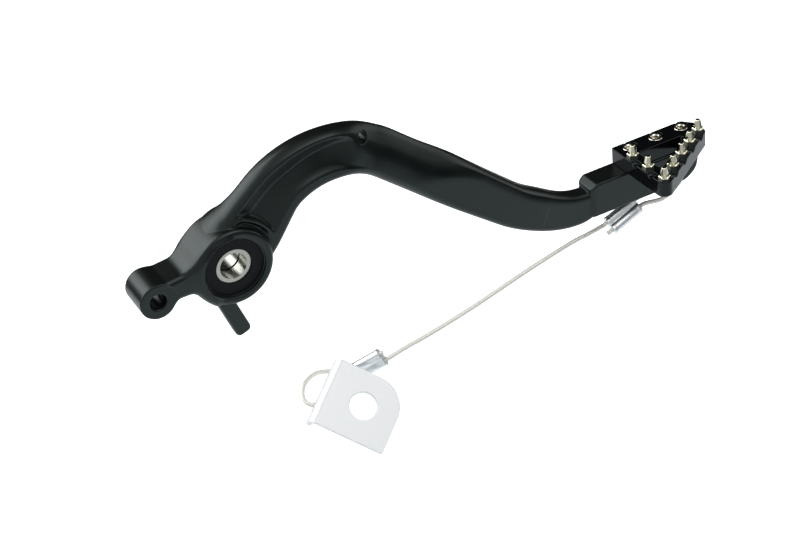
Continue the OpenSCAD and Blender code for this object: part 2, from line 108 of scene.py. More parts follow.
def outline_distance(x, y, outline):
    """Signed distance of points (x, y) from a closed outline, negative inside it.
    It is the least distance to any edge, and its sign comes from counting crossings."""
    x, y = np.broadcast_arrays(x, y)
    best = np.full(x.shape, 1e9)
    inside = np.zeros(x.shape, bool)
    for a, b in zip(outline, np.roll(outline, -1, 0)):
        e = b - a
        if e @ e < 1e-12:
            continue
        t = np.clip(((x - a[0]) * e[0] + (y - a[1]) * e[1]) / (e @ e), 0, 1)
        best = np.minimum(best, (x - a[0] - t * e[0]) ** 2 + (y - a[1] - t * e[1]) ** 2)
        if a[1] != b[1]:
            crosses = (y < a[1]) != (y < b[1])
            inside ^= crosses & (x < a[0] + e[0] * (y - a[1]) / e[1])
    return np.where(inside, -1, 1) * np.sqrt(best)


def turned(rx, ry, rz):
    """Rotation matrix of three turns in degrees about X, then Y, then Z."""
    m = Matrix.Rotation(math.radians(rz), 3, "Z") @ Matrix.Rotation(math.radians(ry), 3, "Y")
    return np.array(m @ Matrix.Rotation(math.radians(rx), 3, "X"))


# ---------------------------------------------------------------- skins

def lay_skin(field, low, high, step):
    """Closed quad skin where field(x, y, z) is zero, in a box from low to high.
    Each grid cell that the surface crosses gets one point, the mean of the places
    where its edges cross it, and each crossed edge joins its four cells by a quad.
    Then every point slides along the field's slope until the field is zero there."""
    axes = [np.arange(a, b + step, step) for a, b in zip(low, high)]
    d = np.broadcast_to(
        field(axes[0][:, None, None], axes[1][None, :, None], axes[2][None, None, :]),
        [len(a) for a in axes]).astype(np.float32)
    n = np.array(d.shape) - 1
    total = np.zeros((*n, 3), np.float32)
    count = np.zeros(n, np.float32)
    whole = [slice(0, k) for k in n]
    for axis in range(3):
        for da in (0, 1):
            for db in (0, 1):
                offset = [0, 0, 0]
                others = [k for k in range(3) if k != axis]
                offset[others[0]], offset[others[1]] = da, db
                s0 = tuple(slice(o, o + k) for o, k in zip(offset, n))
                offset[axis] = 1
                s1 = tuple(slice(o, o + k) for o, k in zip(offset, n))
                d0, d1 = d[s0], d[s1]
                crossed = (d0 < 0) != (d1 < 0)
                t = np.where(crossed, d0 / np.where(crossed, d0 - d1, 1), 0)
                for k in range(3):
                    add = t if k == axis else (da if k == others[0] else db)
                    total[..., k] += np.where(crossed, add, 0)
                count += crossed
    used = count > 0
    index = np.full(n, -1, np.int64)
    index[used] = np.arange(used.sum())
    cell = np.argwhere(used)
    p = (cell + total[used] / count[used][:, None]) * step + np.array(low)
    quads = []
    for axis in range(3):
        b, c = [(1, 2), (2, 0), (0, 1)][axis]
        s0 = [slice(1, k) for k in n]
        s0[axis] = slice(0, n[axis])
        s1 = list(s0)
        s1[axis] = slice(1, n[axis] + 1)
        d0, d1 = d[tuple(s0)], d[tuple(s1)]
        for sign in (1, -1):
            at = np.argwhere((d0 < 0) & (d1 >= 0) if sign > 0 else (d0 >= 0) & (d1 < 0))
            at = at + [0 if k == axis else 1 for k in range(3)]
            corner = []
            for db, dc in ((1, 1), (0, 1), (0, 0), (1, 0)):
                q = at.copy()
                q[:, b] -= db
                q[:, c] -= dc
                corner.append(index[tuple(q.T)])
            quads.append(np.stack(corner[::sign], 1))
    quads = np.concatenate(quads)
    h = step * 0.05
    for _ in range(4):
        value, slope = value_and_slope(field, p, h)
        length2 = np.maximum((slope ** 2).sum(1), 0.05)
        move = slope * (value / length2)[:, None]
        far = np.linalg.norm(move, axis=1)
        p = p - move * np.minimum(1, 0.6 * step / np.maximum(far, 1e-9))[:, None]
    return p, quads


def value_and_slope(field, p, h):
    """A field's value and its slope along X, Y and Z, from two samples h away on each axis."""
    value = field(p[:, 0], p[:, 1], p[:, 2])
    slope = np.zeros(p.shape)
    for k in range(3):
        step = np.zeros(3)
        step[k] = h
        a, b = p + step, p - step
        slope[:, k] = (field(a[:, 0], a[:, 1], a[:, 2]) - field(b[:, 0], b[:, 1], b[:, 2])) / (2 * h)
    return value, slope


def grid_faces(rows, cols, wrap_rows=False, wrap_cols=True):
    """Quads of a rows by cols grid of points, joined round where a side wraps."""
    i = np.arange(rows if wrap_rows else rows - 1)[:, None]
    j = np.arange(cols if wrap_cols else cols - 1)[None, :]
    i2, j2 = (i + 1) % rows, (j + 1) % cols
    return np.stack([i * cols + j, i2 * cols + j, i2 * cols + j2, i * cols + j2], -1).reshape(-1, 4)


def link(name, data):
    """A new object of this name and data, linked to the scene."""
    obj = bpy.data.objects.new(name, data)
    bpy.context.scene.collection.objects.link(obj)
    return obj


def make_piece(name, points, faces, material, stands_for=(), normals=None, uv=None):
    """A mesh object at the origin from points in millimetres, riding on the pedal."""
    mesh = bpy.data.meshes.new(name)
    if isinstance(faces, np.ndarray):
        mesh.vertices.add(len(points))
        mesh.vertices.foreach_set("co", (np.asarray(points) / 1000).astype(np.float32).ravel())
        mesh.loops.add(faces.size)
        mesh.loops.foreach_set("vertex_index", faces.astype(np.int32).ravel())
        mesh.polygons.add(len(faces))
        starts = np.arange(0, faces.size, faces.shape[1], dtype=np.int32)
        mesh.polygons.foreach_set("loop_start", starts)
        mesh.update(calc_edges=True)
    else:
        mesh.from_pydata((np.asarray(points) / 1000).tolist(), [], faces)
    mesh.validate()
    mesh.polygons.foreach_set("use_smooth", np.ones(len(mesh.polygons), bool))
    if uv is not None:
        loops = np.zeros(len(mesh.loops), np.int32)
        mesh.loops.foreach_get("vertex_index", loops)
        corners = np.asarray(uv)[loops].astype(np.float32)
        mesh.uv_layers.new(name="UVMap").data.foreach_set("uv", corners.ravel())
    if normals is not None:
        mesh.normals_split_custom_set_from_vertices(normals.tolist())
    obj = link(name, mesh)
    mesh.materials.append(material)
    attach(obj, BODY)
    if stands_for:
        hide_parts(*stands_for)
    return obj


def make_skin(name, field, low, high, step, material, stands_for=(), place=None):
    """A piece whose skin lies on a field, moved by place = (rotation, shift) if it has one."""
    points, faces = lay_skin(field, low, high, step)
    slope = value_and_slope(field, points, step * 0.05)[1]
    normals = slope / np.maximum(np.linalg.norm(slope, axis=1), 1e-9)[:, None]
    if place is not None:
        points, normals = points @ place[0].T + place[1], normals @ place[0].T
    return make_piece(name, points, faces, material, stands_for, normals)


# ---------------------------------------------------------------- materials

def linear(text):
    """Linear colour with alpha from an sRGB hex text such as #1b1c1e."""
    c = np.array([int(text[k:k + 2], 16) for k in (1, 3, 5)]) / 255
    return (*np.where(c <= 0.04045, c / 12.92, ((c + 0.055) / 1.055) ** 2.4), 1.0)


def add(tree, kind, settings=None, links=None):
    """Adds one node, sets its properties or unlinked sockets, and links its inputs."""
    node = tree.nodes.new(kind)
    for key, value in (settings or {}).items():
        if isinstance(key, str) and hasattr(node, key):
            setattr(node, key, value)
        else:
            node.inputs[key].default_value = value
    for key, source in (links or {}).items():
        tree.links.new(source, node.inputs[key])
    return node


def new_material(name):
    """An empty node material and its tree."""
    material = bpy.data.materials.new(name)
    material.use_nodes = True
    material.node_tree.nodes.clear()
    return material, material.node_tree


def finish_material(tree, shader):
    """Puts a shader on the material's output."""
    add(tree, "ShaderNodeOutputMaterial", links={"Surface": shader.outputs[0]})


def anodised_black(name, colour, roughness, grain_mm, grain_height_mm, specular):
    """Black anodised aluminium: a dark oxide layer, so colour comes from the layer and
    the gloss from its clear surface. Tumbled or milled metal under it gives a fine grain."""
    material, tree = new_material(name)
    at = add(tree, "ShaderNodeTexCoord")
    fine = add(tree, "ShaderNodeTexNoise", {"Scale": 1000 / grain_mm, "Detail": 3.0, "Roughness": 0.6},
               {"Vector": at.outputs["Object"]})
    broad = add(tree, "ShaderNodeTexNoise", {"Scale": 60.0, "Detail": 3.0},
                {"Vector": at.outputs["Object"]})
    tone = add(tree, "ShaderNodeMapRange", {"From Min": 0.3, "From Max": 0.7,
                                            "To Min": roughness * 0.9, "To Max": roughness * 1.12},
               {"Value": broad.outputs["Fac"]})
    shade = add(tree, "ShaderNodeMix", {"data_type": "RGBA", 6: linear(colour),
                                        7: tuple(1.35 * c for c in linear(colour)[:3]) + (1.0,)},
                {0: broad.outputs["Fac"]})
    bump = add(tree, "ShaderNodeBump", {"Strength": 0.35, "Distance": grain_height_mm / 1000},
               {"Height": fine.outputs["Fac"]})
    shader = add(tree, "ShaderNodeBsdfPrincipled", {"Specular IOR Level": specular, "IOR": 1.5,
                                                    "Specular Tint": linear("#e2f4f2")},
                 {"Base Color": shade.outputs[2], "Roughness": tone.outputs["Result"],
                  "Normal": bump.outputs["Normal"]})
    finish_material(tree, shader)
    return material


def bare_metal(name, colour, roughness, scratch_mm, along, spread=0.25):
    """Bare metal: coloured reflections and no other colour, with a fine lay of tool marks
    drawn out along one axis, which spreads its highlights across them."""
    material, tree = new_material(name)
    at = add(tree, "ShaderNodeTexCoord")
    stretch = [1.0, 1.0, 1.0]
    stretch[along] = 0.06
    lay = add(tree, "ShaderNodeMapping", {"Scale": tuple(stretch)}, {"Vector": at.outputs["Object"]})
    marks = add(tree, "ShaderNodeTexNoise", {"Scale": 1000 / scratch_mm, "Detail": 2.0},
                {"Vector": lay.outputs["Vector"]})
    rough = add(tree, "ShaderNodeMapRange", {"From Min": 0.3, "From Max": 0.7,
                                             "To Min": roughness * (1 - spread),
                                             "To Max": roughness * (1 + spread)},
                {"Value": marks.outputs["Fac"]})
    bump = add(tree, "ShaderNodeBump", {"Strength": 0.15, "Distance": 0.00001},
               {"Height": marks.outputs["Fac"]})
    shader = add(tree, "ShaderNodeBsdfPrincipled", {"Base Color": linear(colour), "Metallic": 1.0},
                 {"Roughness": rough.outputs["Result"], "Normal": bump.outputs["Normal"]})
    finish_material(tree, shader)
    return material


def tumbled_sheet(name, colour):
    """Aluminium sheet tumbled in fine stones: so many tiny dents that it scatters nearly as
    white paint does, with only a broad satin sheen left of the metal's gloss."""
    material, tree = new_material(name)
    at = add(tree, "ShaderNodeTexCoord")
    dents = add(tree, "ShaderNodeTexNoise", {"Scale": 1000 / 0.5, "Detail": 3.0},
                {"Vector": at.outputs["Object"]})
    rough = add(tree, "ShaderNodeMapRange", {"From Min": 0.3, "From Max": 0.7,
                                             "To Min": 0.42, "To Max": 0.52},
                {"Value": dents.outputs["Fac"]})
    bump = add(tree, "ShaderNodeBump", {"Strength": 0.15, "Distance": 0.00001},
               {"Height": dents.outputs["Fac"]})
    shader = add(tree, "ShaderNodeBsdfPrincipled", {"Base Color": linear(colour), "Metallic": 0.45},
                 {"Roughness": rough.outputs["Result"], "Normal": bump.outputs["Normal"]})
    finish_material(tree, shader)
    return material


def moulded_rubber(name, colour):
    """Moulded nitrile rubber: matt black with a soft, fine-grained surface."""
    material, tree = new_material(name)
    at = add(tree, "ShaderNodeTexCoord")
    grain = add(tree, "ShaderNodeTexNoise", {"Scale": 4000.0, "Detail": 2.0},
                {"Vector": at.outputs["Object"]})
    bump = add(tree, "ShaderNodeBump", {"Strength": 0.3, "Distance": 0.00002},
               {"Height": grain.outputs["Fac"]})
    shader = add(tree, "ShaderNodeBsdfPrincipled", {"Base Color": linear(colour), "Roughness": 0.55,
                                                    "Specular IOR Level": 0.18},
                 {"Normal": bump.outputs["Normal"]})
    finish_material(tree, shader)
    return material


def coated_rope(name, steel, coat, strands):
    """Stainless wire rope under a clear nylon coat: the coat is smooth and faintly yellow,
    and the wires of each strand show through it as fine slanting lines."""
    material, tree = new_material(name)
    uv = add(tree, "ShaderNodeTexCoord")
    lean = add(tree, "ShaderNodeMapping", {"Rotation": (0, 0, math.radians(38)),
                                           "Scale": (strands * 1.0, 2600.0, 1.0)},
               {"Vector": uv.outputs["UV"]})
    wires = add(tree, "ShaderNodeTexWave", {"wave_type": "BANDS", "bands_direction": "Y", "Scale": 1.0,
                                            "Distortion": 0.4, "Detail": 1.0},
                {"Vector": lean.outputs["Vector"]})
    shade = add(tree, "ShaderNodeMix", {"data_type": "RGBA", 6: linear(coat), 7: linear(steel)},
                {0: wires.outputs["Fac"]})
    bump = add(tree, "ShaderNodeBump", {"Strength": 0.2, "Distance": 0.00003},
               {"Height": wires.outputs["Fac"]})
    shader = add(tree, "ShaderNodeBsdfPrincipled",
                 {"Metallic": 0.15, "Roughness": 0.3, "Coat Weight": 1.0, "Coat Roughness": 0.08},
                 {"Base Color": shade.outputs[2], "Normal": bump.outputs["Normal"]})
    finish_material(tree, shader)
    return material


# ---------------------------------------------------------------- values of the panel

class PedalArmSettings(bpy.types.PropertyGroup):
    """Skin and colour of the forged arm."""
    step: bpy.props.FloatProperty(name="Skin step", description="Grid step in mm", default=0.45)
    colour: bpy.props.StringProperty(name="Arm colour", description="sRGB hex", default="#0a0d0c")


class ToePadSettings(bpy.types.PropertyGroup):
    """Skin and colours of the milled toe pad and its studs."""
    step: bpy.props.FloatProperty(name="Skin step", description="Grid step in mm", default=0.28)
    colour: bpy.props.StringProperty(name="Pad colour", description="sRGB hex", default="#050607")
    stud_colour: bpy.props.StringProperty(name="Stud colour", description="sRGB hex", default="#c9c8b4")


class SafetyCableSettings(bpy.types.PropertyGroup):
    """Sizes of the cable, in millimetres."""
    diameter: bpy.props.FloatProperty(name="Cable diameter", description="Over the coat", default=1.8)
    strands: bpy.props.IntProperty(name="Strands", description="Outer strands of the rope", default=7)
    lay_length: bpy.props.FloatProperty(name="Lay length", description="A strand's turn", default=13.0)


class StudioSettings(bpy.types.PropertyGroup):
    """Camera, floor and air."""
    lens: bpy.props.FloatProperty(name="Lens", description="In mm on a 36 mm sensor", default=80.69)
    floor_z: bpy.props.FloatProperty(name="Floor height", description="In metres", default=-0.16)
    floor_half: bpy.props.FloatProperty(name="Floor reach", description="Half its side, in metres",
                                        default=0.45)
    floor_colour: bpy.props.StringProperty(name="Floor", description="sRGB hex", default="#e6ecf0")
    floor_glow: bpy.props.FloatProperty(name="Floor glow", description="Seen by the camera alone",
                                        default=0.75)
    floor_in_metal: bpy.props.FloatProperty(name="Floor in metal", description="Added in reflections",
                                            default=0.15)
    air: bpy.props.FloatProperty(name="Air", description="Light from all round", default=0.42)
    air_in_metal: bpy.props.FloatProperty(name="Air in metal", description="Room seen in reflections",
                                          default=0.6)


SETTINGS = {"pedal_arm": PedalArmSettings, "toe_pad": ToePadSettings,
            "safety_cable": SafetyCableSettings, "studio": StudioSettings}


# ---------------------------------------------------------------- the arm's shape

ARM_Y = -1.6
ARM_T = 10.0
ARM_OUT = ARM_Y - ARM_T / 2
ARM_IN = ARM_Y + ARM_T / 2
CROWN = np.array([41.0, 38.0])
CROWN_R, HEEL_R = 34.0, 48.0
HEEL = np.array([124.0, -32.7])
TOE_Z = -32.7
BLOCK = (145.0, 196.5, TOE_Z - 7.2, TOE_Z + 7.2)
LUG = (-28.5, -2.7)
EYE_R = 2.5
EYE = (BLOCK[1] - 10.2, BLOCK[2] + EYE_R + 3)
# just inside the turned ring of boss_ring
BOSS_R, BOSS_HALF = 14.42, 8.42
SEAT_R = 11.4
LUG_R, LUG_HALF, PIN_R = 6.6, 7.5, 3.0
TAB_ROOT, TAB_LEAN, TAB_HALF = (-5.51, -11.02), math.radians(18), 2.5
HOLE_R, NOTCH_R = 2.0, 1.3


def bend(a, b, c, r):
    """Arc that rounds corner b of a path a-b-c: centre, radius, first angle, sweep and ends."""
    u, w = unit(a - b), unit(c - b)
    half = math.acos(u @ w) / 2
    mid = b + unit(u + w) * r / math.sin(half)
    p, q = b + u * r / math.tan(half), b + w * r / math.tan(half)
    a0 = math.atan2(*(p - mid)[::-1])
    sweep = (math.atan2(*(q - mid)[::-1]) - a0 + math.pi) % (2 * math.pi) - math.pi
    return mid, r, a0, sweep, p, q


BENDS = [bend(np.zeros(2), CROWN, HEEL, CROWN_R), bend(CROWN, HEEL, np.array([154.0, TOE_Z]), HEEL_R)]
KNOTS = [np.zeros(2), BENDS[0][4], BENDS[0][5], BENDS[1][4], BENDS[1][5], np.array([170.0, TOE_Z])]


def along_arm(x, z):
    """Place of points beside the arm's centre line: distance along it and height above it.
    The line is three straight runs joined by two arcs, and the nearest of them counts."""
    x, z = np.broadcast_arrays(x, z)
    best = np.full(x.shape, 1e9)
    run, up = np.zeros(x.shape), np.zeros(x.shape)
    travelled = 0.0
    for k in range(5):
        if k % 2 == 0:
            a, b = KNOTS[k], KNOTS[k + 1]
            length = np.linalg.norm(b - a)
            d = (b - a) / length
            t = (x - a[0]) * d[0] + (z - a[1]) * d[1]
            v = -(x - a[0]) * d[1] + (z - a[1]) * d[0]
            t_in = np.clip(t, 0 if k else -1e9, length if k < 4 else 1e9)
            far = np.hypot(t - t_in, v)
        else:
            mid, r, a0, sweep = BENDS[k // 2][:4]
            length = abs(sweep) * r
            angle = np.arctan2(z - mid[1], x - mid[0])
            turn = ((angle - a0) * np.sign(sweep) + math.pi) % (2 * math.pi) - math.pi
            radius = np.hypot(x - mid[0], z - mid[1])
            v = (r - radius) * np.sign(sweep)
            t_in = np.clip(turn * r, 0, length)
            far = np.where((turn * r >= 0) & (turn * r <= length), np.abs(v), 1e8)
        near = far < best
        best = np.where(near, far, best)
        run = np.where(near, travelled + t_in, run)
        up = np.where(near, v, up)
        travelled += length
    return run, up


# distances along the centre line at which its bends start and end
STATIONS = np.cumsum([np.linalg.norm(KNOTS[1]), abs(BENDS[0][3]) * CROWN_R,
                      np.linalg.norm(KNOTS[3] - KNOTS[2]), abs(BENDS[1][3]) * HEEL_R])
# length of the taper behind the toe block
NECK = 7.3


def blend(a, b, t):
    """Goes from a to b as t goes from 0 to 1, along a half cosine."""
    return a + (b - a) * ease(t)


def edge_table():
    """Rise, fall, swell and taper of the arm at even distances along it: each eases from its
    value at the boss to those at the crown, the lower bend and the neck, and a bell-shaped
    average over a few millimetres takes the corners off."""
    s = np.arange(-10, 200, 0.25)
    knots = [8, *STATIONS, STATIONS[3] + 2.8, STATIONS[3] + NECK]
    n = np.interp(s, knots, [0, 5, 21, 30, 39, 40, 41])
    up = blend(blend(blend(12.8, 9.4, (n - 1) / 16), 8.6, (n - 22) / 8), 4.0, (n - 32.5) / 7.9)
    down = blend(blend(blend(12.2, 9.0, n / 7), 7.5, (n - 24) / 9), 9.1, (n - 33) / 6)
    down = np.where(n > 40, 9.1 - 2.2 * (n - 40), down)
    swell = 4.5 * (1 - ease(n / 4))
    taper = 0.7 * ease((n - 33) / 6)
    bell = np.exp(-0.5 * (np.arange(-24, 25) * 0.25 / 2.2) ** 2)
    smooth = [np.convolve(np.pad(q, 24, mode="edge"), bell / bell.sum(), "valid")
              for q in (up, down, swell, taper)]
    return s, smooth


RUN, (RISE, FALL, SWELL, TAPER) = edge_table()


def along(s, table):
    """Value of one of the arm's tables at distance s."""
    return np.interp(s, RUN, table)


def on_bend(t, v):
    """Point v above the centre line at the fraction t of the crown's arc."""
    mid, r, a0, sweep = BENDS[0][:4]
    return mid + (r + v) * np.array([math.cos(a0 + sweep * t), math.sin(a0 + sweep * t)])


# the drilled hole's share of the crown's arc
HOLE_AT = 0.75
HOLE_S = STATIONS[0] + HOLE_AT * (STATIONS[1] - STATIONS[0])
HOLE = on_bend(HOLE_AT, along(HOLE_S, RISE) - 4.6)
HOLE_UP = unit(HOLE - BENDS[0][0])

LUG_WEB = rounded([(0, 11.5, 0), (-11.9, 7.5, 3), (-18.2, 4.2, 6), (LUG[0], 3.2, 0), (LUG[0], -8.0, 0),
                   (-24.0, -6.2, 0), (-20.6, -5.0, 3), (-14.5, -5.0, 3), (-8.7, -12.3, 0)])
TAB = rounded([(-3, -20, 1.8), (3, -20, 1.8), (3, 0, 0), (-3, 0, 0)])
BLOCK_SIDE = rounded([(BLOCK[0], BLOCK[2] + 1.2, 0.8), (BLOCK[0] + 1.4, BLOCK[2], 0.8),
                      (BLOCK[1], BLOCK[2], 10.9), (BLOCK[1], BLOCK[3], 1.0),
                      (BLOCK[0] + 3.2, BLOCK[3], 1.6), (BLOCK[0], BLOCK[3] - 2.2, 1.6)])
BLOCK_PLAN = rounded([(BLOCK[0], ARM_OUT, 2.4), (BLOCK[1], ARM_OUT, 3), (BLOCK[1], ARM_IN, 3),
                      (BLOCK[0], ARM_IN, 2.4)])


RECESS_DEPTH = 3.7
# distance along the arm against the height of the upper slope's foot, and of the lower lip
SLOPE_FOOT = ([18, 29, 36, 48, 59, 68], [4.5, 3.8, 2.9, 3.4, 5.4, 6.6])
LOWER_LIP = ([18, 22, 27, 34, 46, 51, 56, 61, 68],
             [-6.2, -5.5, -4.8, -4.0, -4.4, -4.6, -5.1, -5.7, -6.2])


def recess(s, v, y):
    """Distance outside the recess forged into the outer side: a floor that leans in from the
    lower lip, deepest under a wide slope that climbs back out to the thin upper lip. Its
    depth eases to nothing past the crown."""
    depth = RECESS_DEPTH * (1 - ease((s - 47) / 20)) + 1e-3
    top = along(s, RISE) - 1.2
    toe, low = np.interp(s, *SLOPE_FOOT), np.interp(s, *LOWER_LIP)
    floor = ARM_OUT + depth
    wide, deep = top - toe, toe - low
    slope = (depth * (v - toe) + wide * (y - floor)) / np.hypot(depth, wide)
    t = np.clip((v - toe) / wide, 0, 1)
    slope = slope - 0.12 * depth * t * (1 - t)
    lean = 0.8 * depth
    base = (deep * (y - floor + lean) - lean * (v - low)) / np.hypot(deep, lean)
    return meet(meet(slope, base, 0.5), low - v + 0.8 * (y - ARM_OUT), 0.9)


def arm_beam(s, v, y):
    """Distance outside the arm's bar. Beside the recess its top is wide, crowned and
    sharp-edged. From the crown on its outer side leans in over the middle, then slopes to
    a crest on the inner side, and it squares up again before the neck."""
    half = ARM_T / 2 - along(s, TAPER)
    rise = along(s, RISE)
    w = ARM_Y - y
    outer = w - half - 1.4 * (1 - ease((s - 8) / 16)) * ease((v - 5) / 6)
    inner = -w - half - along(s, SWELL)
    upper = v - rise + 0.02 * np.minimum(w ** 2, 60)
    lower = -v - along(s, FALL)
    soft = ease((s - 50) / 20) * (1 - ease((s - 84) / 34))
    far = 5 * (1 - soft)
    body = np.maximum(meet(outer, upper, 1.3 + 1.9 * soft), meet(inner, upper, 3.2))
    lean = (w - half) * 0.903 + (v + 0.9) * 0.43 - far
    slope = (w - 2.1) * 0.616 + (v - rise + 3.8) * 0.788 - far
    body = meet(body, meet(lean, slope, 4.5), 3.0)
    under = np.maximum(meet(outer, lower, 2.2 + 1.6 * soft), meet(inner, lower, 3.8))
    return np.maximum(np.maximum(body, under), np.maximum(s - STATIONS[3] - NECK, 2 - s))


def arm_field(x, y, z):
    """Distance outside the forged arm: its bar, joined by fillets to the boss, the lug, the
    tab and the toe block, less the recess and the ring-shaped groove in its outer side and
    the drilled holes."""
    s, v = along_arm(x, z)
    hub_far = np.hypot(x, z)
    beam = arm_beam(s, v, y)
    beam = cut(beam, cut(recess(s, v, y), hub_far - 17.8, 1.3), 0.5)
    groove = 2.0 * ease((v + 9) / 8) * (1 - ease((v - 6) / 5)) - 0.7
    beam = cut(beam, meet(hub_far - 16.3, y - ARM_OUT - groove, 0.8), 0.9)
    boss = meet(hub_far - BOSS_R, np.abs(y) - BOSS_HALF, 1.5)
    web = meet(outline_distance(x, z, LUG_WEB), np.abs(y) - LUG_HALF, 2.0)
    lug_far = np.hypot(x - LUG[0], z - LUG[1])
    lug = meet(lug_far - LUG_R, np.abs(y) - LUG_HALF, 0.9)
    deep_fillet = 0.8 + 4.6 * ease((y + 6.6) / 6) * ease((s - 1) / 14)
    solid = join(join(beam, boss, deep_fillet), join(web, lug, 1.0), 3.6)
    c, sn = math.cos(TAB_LEAN), math.sin(TAB_LEAN)
    tx, tz = x - TAB_ROOT[0], z - TAB_ROOT[1]
    tab = outline_distance(c * tx + sn * tz, c * tz - sn * tx, TAB)
    solid = join(solid, meet(tab, np.abs(y + TAB_HALF) - TAB_HALF, 1.1), 1.5)
    block = meet(outline_distance(x, z, BLOCK_SIDE), outline_distance(x, y, BLOCK_PLAN), 0.8)
    solid = join(solid, block, 0.5)
    solid = cut(solid, hub_far - SEAT_R, 0.2)
    solid = cut(solid, meet(lug_far - LUG_R - 0.3, y + LUG_HALF - 0.6, 0.5), 0.4)
    solid = cut(solid, lug_far - PIN_R, 0.45)
    hole_x, hole_z = x - HOLE[0], z - HOLE[1]
    solid = cut(solid, np.hypot(hole_x, hole_z) - HOLE_R, 0.35)
    up = hole_x * HOLE_UP[0] + hole_z * HOLE_UP[1]
    side = hole_x * HOLE_UP[1] - hole_z * HOLE_UP[0]
    solid = cut(solid, meet(np.hypot(side, y - ARM_OUT - 2.2) - NOTCH_R, -up, 0.2), 0.3)
    return cut(solid, np.hypot(x - EYE[0], z - EYE[1]) - EYE_R, 0.9)


def boss_ring(turns=192):
    """Turned pivot boss: a closed profile of radius against width carried round the bore."""
    half = [(10.2, 0.5), (11.02, 0.52), (11.02, 7.45), (11.06, 7.5), (11.7, 7.5), (11.8, 7.6),
            (11.8, 8.3), (11.88, 8.44), (12.05, 8.5), (13.0, 8.5), (13.3, 8.47), (13.72, 8.32),
            (14.07, 8.05), (14.34, 7.68), (14.47, 7.3), (14.5, 7.0), (14.5, 6.0)]
    p = np.array(half + [(r, -y) for r, y in half[::-1]])
    a = np.linspace(0, 2 * np.pi, turns, endpoint=False)[None, :]
    r, y = p[:, 0][:, None], p[:, 1][:, None]
    points = np.stack([r * np.cos(a), y + 0 * a, r * np.sin(a)], -1).reshape(-1, 3)
    return points, grid_faces(len(p), turns, wrap_rows=True)[:, ::-1]


# ---------------------------------------------------------------- the pad's shape

PAD_X = 161.5
BLOCK_TOP = BLOCK[3]
PAD_T = 6.5
PAD_TOP = BLOCK_TOP + PAD_T
STUD_X = PAD_X + 3.2
STUD_Y, STUD_PITCH = -6.3, 10.1
STUDS = [np.array([STUD_X, STUD_Y - STUD_PITCH * i]) for i in range(2)]
APEX = np.array([STUD_X, STUD_Y - 2 * STUD_PITCH])
FRONT = np.array([STUD_X + 30.4, STUD_Y])
STUDS += [APEX + (FRONT - APEX) * i / 4 for i in range(5)]
SCREWS = [(PAD_X + 6.2 + 12 * i, ARM_IN - 3.4) for i in range(3)]
SLANT = unit(FRONT - APEX)
OUTWARD = np.array([SLANT[1], -SLANT[0]])


def on_line(p, x):
    """Sideways place, at x, of the line through p along the slanted rim."""
    return p[1] + (x - p[0]) * SLANT[1] / SLANT[0]


RIM_HALF = 3.2
RIM = APEX + OUTWARD * RIM_HALF
INNER = APEX - OUTWARD * RIM_HALF
PAD_END = FRONT[0] + 2.4
PAD_OUTLINE = rounded([(PAD_X, ARM_IN, 0.8), (PAD_X, on_line(RIM, PAD_X), 3.2),
                       (PAD_END, on_line(RIM, PAD_END), 2.6), (PAD_END, ARM_IN - 4.5, 1.5),
                       (PAD_END - 3.6, ARM_IN, 2.6)])
WINDOW_REAR = STUD_X + 2.8
WINDOW_TOP = ARM_IN - 9.2
WINDOW_FRONT = INNER[0] + (WINDOW_TOP - INNER[1]) * SLANT[0] / SLANT[1]
WINDOW = rounded([(WINDOW_REAR, WINDOW_TOP, 1), (WINDOW_REAR, on_line(INNER, WINDOW_REAR), 1.4),
                  (WINDOW_FRONT, WINDOW_TOP, 1)])


EDGE_BREAK, GULLET_R = 0.35, 1.9
WELL_R, SCREW_R, STUD_HOLE_R = 3.2, 1.6, 1.55


def gullet(x, y, z, at, outward):
    """A round-bottomed notch that runs out across the rim from near its middle."""
    u = (x - at[0]) * outward[0] + (y - at[1]) * outward[1]
    w = -(x - at[0]) * outward[1] + (y - at[1]) * outward[0]
    return meet(np.hypot(w, z - PAD_TOP - 0.5) - GULLET_R, 0.6 - u, 0.2)


def pad_field(x, y, z):
    """Distance outside the milled pad: its outline raised to its thickness, less the
    window, the notches across the rim, the counterbores of its screws and the studs' holes."""
    tall = np.abs(z - BLOCK_TOP - PAD_T / 2) - PAD_T / 2
    solid = meet(outline_distance(x, y, PAD_OUTLINE), tall, EDGE_BREAK)
    solid = cut(solid, outline_distance(x, y, WINDOW), EDGE_BREAK)
    for i in range(2):
        at = (STUD_X, STUD_Y - STUD_PITCH * (i + 0.5))
        solid = cut(solid, gullet(x, y, z, at, (-1, 0)), 0.25)
    for i in range(4):
        solid = cut(solid, gullet(x, y, z, APEX + (FRONT - APEX) * (i + 0.5) / 4, OUTWARD), 0.25)
    for sx, sy in SCREWS:
        well = meet(np.hypot(x - sx, y - sy) - WELL_R, PAD_TOP - 2 - z, 0.1)
        solid = cut(solid, well, 0.2)
        solid = cut(solid, np.hypot(x - sx, y - sy) - SCREW_R, 0.1)
    for sx, sy in STUDS:
        hole = meet(np.hypot(x - sx, y - sy) - STUD_HOLE_R, PAD_TOP - 3 - z, 0.1)
        solid = cut(solid, hole, 0.1)
    return solid


# each ring of a stud: height over the pad, radius to a flat, share of flat
STUD_RINGS = np.array([
    (-5.2, 1.45, 0), (0.0, 1.45, 0), (0.0, 2.0, 1), (0.95, 2.0, 1), (1.3, 1.78, 0.6), (1.3, 1.42, 0.2),
    (1.62, 1.28, 0), (1.9, 1.36, 0.9), (3.9, 1.02, 0.9), (4.45, 0.92, 0.8), (4.6, 0.76, 0.5)])


